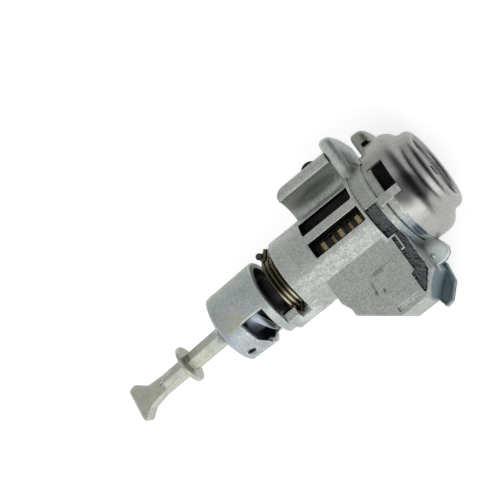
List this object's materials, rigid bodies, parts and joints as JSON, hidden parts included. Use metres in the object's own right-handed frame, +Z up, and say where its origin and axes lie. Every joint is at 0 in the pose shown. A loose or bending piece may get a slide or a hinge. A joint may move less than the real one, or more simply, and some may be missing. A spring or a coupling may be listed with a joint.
{
  "type": "door lock cylinder",
  "caption": "Door lock cylinder: cast housing with block, arm and wings, steel face cap, key plug with sprung wafers, return spring and tail lever with a flat end.",
  "frame": {"origin": "on the lock axis, in the plane where the face rim leaves the cap's shoulder", "axes": "+X along the lock axis towards the key face, +Z up in the door, +Y towards the side with the arm and the wings"},
  "size_m": [0.1056, 0.0538, 0.0308],
  "materials": {
    "zinc_casting": "die-cast zinc, fine grained, light grey",
    "zinc_plug": "die-cast zinc, machined",
    "zinc_face": "satin zinc",
    "zinc_lever": "die-cast zinc with a bluish yellow passivation",
    "stainless_cap": "brushed stainless sheet",
    "black_rubber": "matt black rubber",
    "foam": "dark grey granular foam",
    "steel_pin": "dark steel",
    "shutter_steel": "stainless wire",
    "spring_steel": "oiled dark brown spring wire",
    "brass_wafer": "stamped brass, oiled",
    "wafer_spring_steel": "bright spring wire"
  },
  "bodies": {
    "lock_body": {"housing": "zinc_casting", "face_cap": "stainless_cap", "cap_gasket": "black_rubber", "foam_pad": "foam", "bumper": "black_rubber", "stop_pin": "steel_pin"},
    "rotor": {"plug": "zinc_plug", "plug_face": "zinc_face", "tail_lever": "zinc_lever", "roll_pin": "steel_pin", "circlip": "steel_pin", "return_spring": "spring_steel", "shutter_pin": "shutter_steel", "shutter_spring": "spring_steel", "wafer_spring_1": "wafer_spring_steel", "wafer_spring_2": "wafer_spring_steel", "wafer_spring_3": "wafer_spring_steel", "wafer_spring_4": "wafer_spring_steel", "wafer_spring_5": "wafer_spring_steel", "wafer_spring_6": "wafer_spring_steel", "wafer_spring_7": "wafer_spring_steel", "wafer_spring_8": "wafer_spring_steel"},
    "flap": {"shutter": "shutter_steel"},
    "wafer_1": {"wafer_1": "brass_wafer"},
    "wafer_2": {"wafer_2": "brass_wafer"},
    "wafer_3": {"wafer_3": "brass_wafer"},
    "wafer_4": {"wafer_4": "brass_wafer"},
    "wafer_5": {"wafer_5": "brass_wafer"},
    "wafer_6": {"wafer_6": "brass_wafer"},
    "wafer_7": {"wafer_7": "brass_wafer"},
    "wafer_8": {"wafer_8": "brass_wafer"}
  },
  "joints": [
    {"name": "plug_turn", "type": "hinge", "parent": "lock_body", "child": "rotor", "pos_m": [0, 0, 0], "axis": [1, 0, 0], "range_deg": [-40, 40], "stiffness_Nm_per_rad": 0.08, "deforming": ["return_spring"]},
    {"name": "shutter_swing", "type": "hinge", "parent": "rotor", "child": "flap", "pos_m": [-0.00055, 0.0026, 0], "axis": [0, 0, -1], "range_deg": [0, 80], "stiffness_Nm_per_rad": 0.0004, "springref_deg": -17.19, "deforming": ["shutter_spring"]},
    {"name": "wafer_1_slide", "type": "slide", "parent": "rotor", "child": "wafer_1", "axis": [0, 0, -1], "range_m": [-0.0009, 0], "stiffness_N_per_m": 80, "springref_m": -0.0009, "deforming": ["wafer_spring_1"]},
    {"name": "wafer_2_slide", "type": "slide", "parent": "rotor", "child": "wafer_2", "axis": [0, 0, 1], "range_m": [-0.0009, 0], "stiffness_N_per_m": 80, "springref_m": -0.0009, "deforming": ["wafer_spring_2"]},
    {"name": "wafer_3_slide", "type": "slide", "parent": "rotor", "child": "wafer_3", "axis": [0, 0, -1], "range_m": [-0.0009, 0], "stiffness_N_per_m": 80, "springref_m": -0.0009, "deforming": ["wafer_spring_3"]},
    {"name": "wafer_4_slide", "type": "slide", "parent": "rotor", "child": "wafer_4", "axis": [0, 0, 1], "range_m": [-0.0009, 0], "stiffness_N_per_m": 80, "springref_m": -0.0009, "deforming": ["wafer_spring_4"]},
    {"name": "wafer_5_slide", "type": "slide", "parent": "rotor", "child": "wafer_5", "axis": [0, 0, -1], "range_m": [-0.0009, 0], "stiffness_N_per_m": 80, "springref_m": -0.0009, "deforming": ["wafer_spring_5"]},
    {"name": "wafer_6_slide", "type": "slide", "parent": "rotor", "child": "wafer_6", "axis": [0, 0, 1], "range_m": [-0.0009, 0], "stiffness_N_per_m": 80, "springref_m": -0.0009, "deforming": ["wafer_spring_6"]},
    {"name": "wafer_7_slide", "type": "slide", "parent": "rotor", "child": "wafer_7", "axis": [0, 0, -1], "range_m": [-0.0009, 0], "stiffness_N_per_m": 80, "springref_m": -0.0009, "deforming": ["wafer_spring_7"]},
    {"name": "wafer_8_slide", "type": "slide", "parent": "rotor", "child": "wafer_8", "axis": [0, 0, 1], "range_m": [-0.0009, 0], "stiffness_N_per_m": 80, "springref_m": -0.0009, "deforming": ["wafer_spring_8"]}
  ]
}
